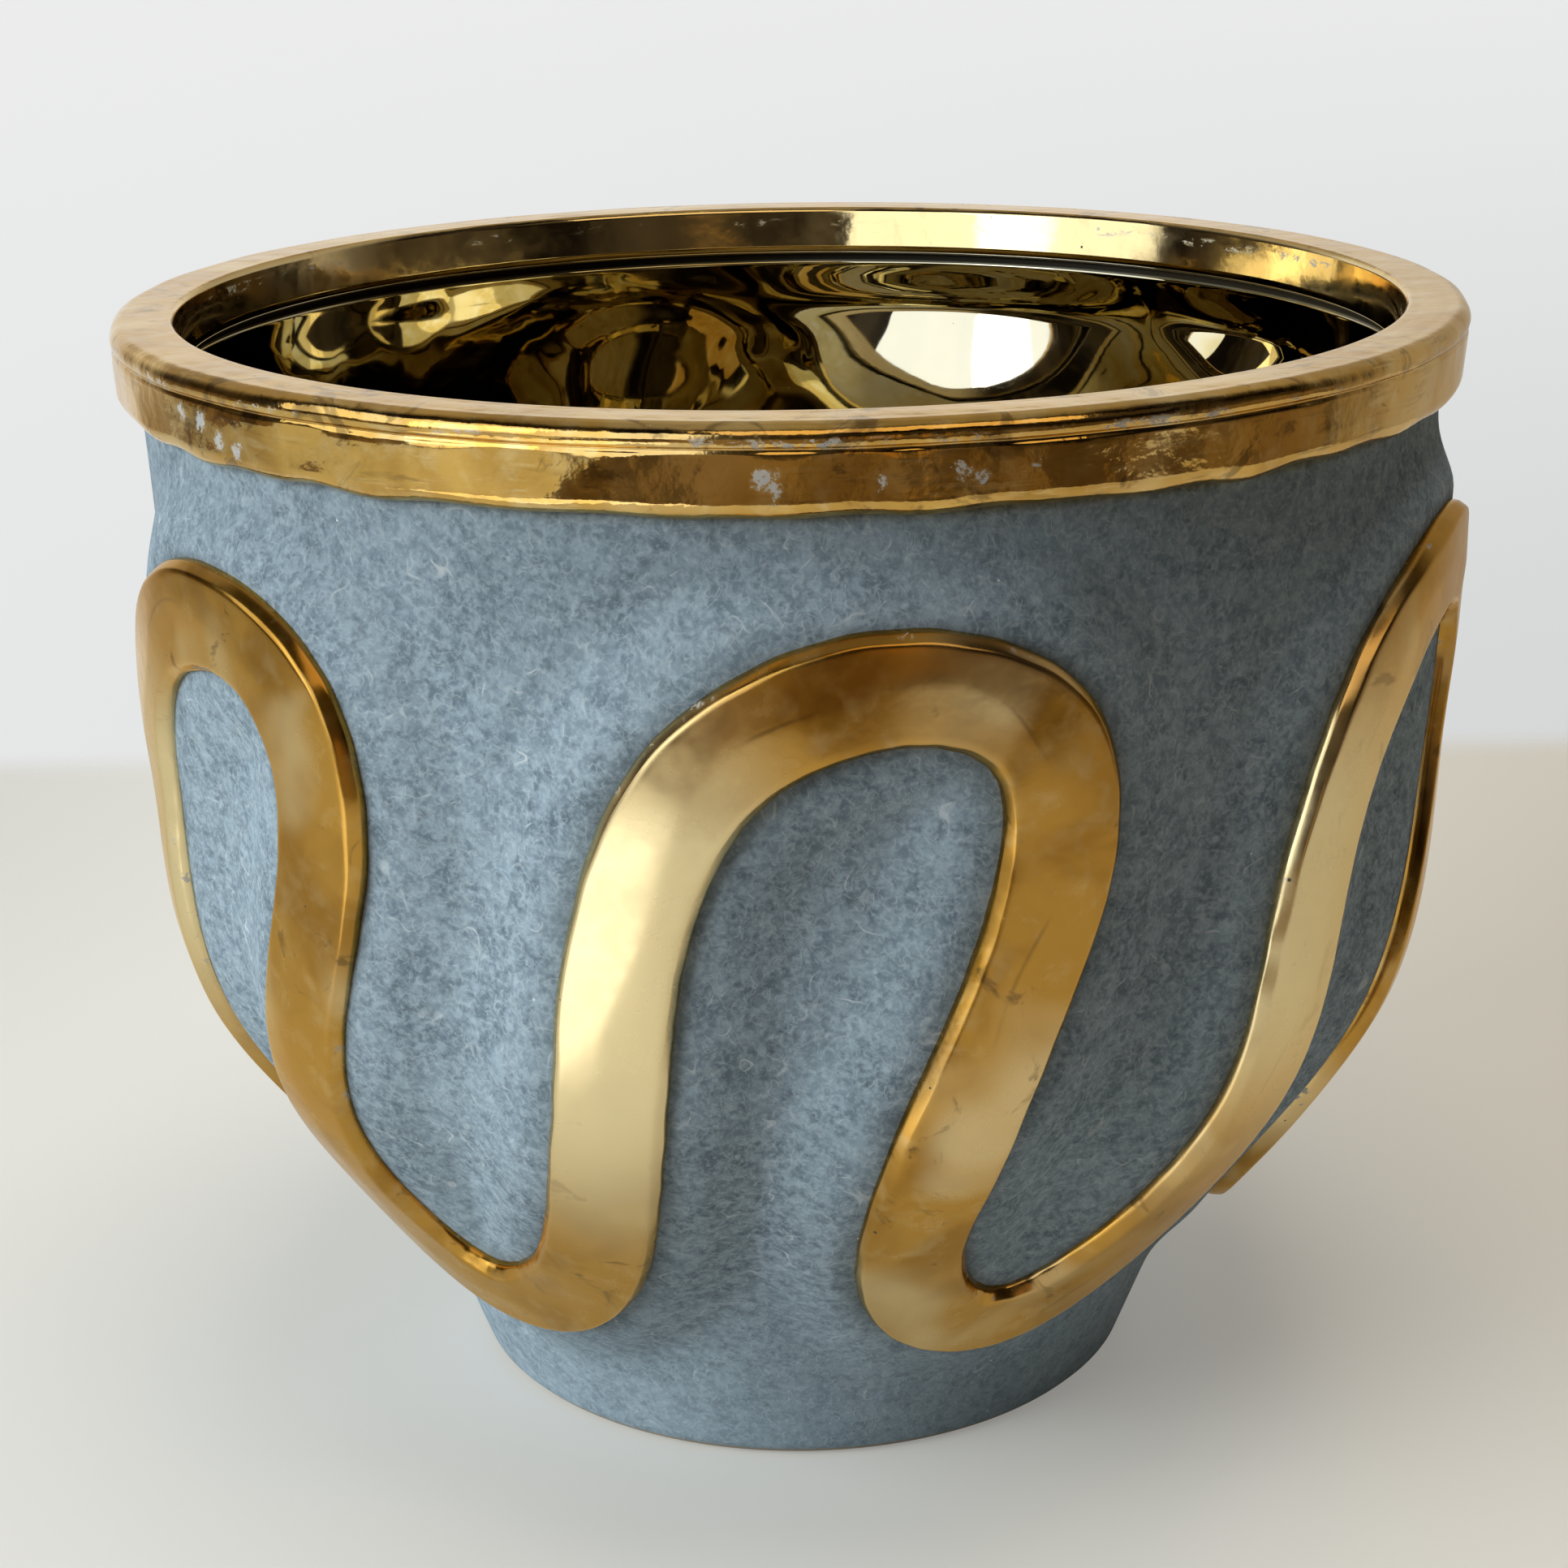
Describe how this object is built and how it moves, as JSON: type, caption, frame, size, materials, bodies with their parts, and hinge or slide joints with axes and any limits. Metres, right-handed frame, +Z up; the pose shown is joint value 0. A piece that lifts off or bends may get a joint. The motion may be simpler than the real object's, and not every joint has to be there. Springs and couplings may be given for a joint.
{
  "type": "plant pot",
  "caption": "Round ceramic plant pot with a matte blue-grey wall, a thick gold rim, a gold lining and a raised gold strip that runs round the wall in waves.",
  "frame": {"origin": "middle of the foot, on the surface that the pot stands on", "axes": "+Z up along the pot's axis, out of its mouth; the front of the picture faces -Y"},
  "size_m": [0.21, 0.21, 0.176],
  "materials": {
    "matte_clay": "matte",
    "bare_clay": "matte",
    "rim_gold": "gloss",
    "lining_gold": "gloss",
    "strip_gold": "satin"
  },
  "bodies": {
    "root": {"wall": "matte_clay", "floor_disc": "bare_clay", "rim_collar": "rim_gold", "gold_lining": "lining_gold", "ribbon_1": "strip_gold", "ribbon_2": "strip_gold", "ribbon_3": "strip_gold", "ribbon_4": "strip_gold", "ribbon_5": "strip_gold", "ribbon_6": "strip_gold"}
  },
  "joints": []
}
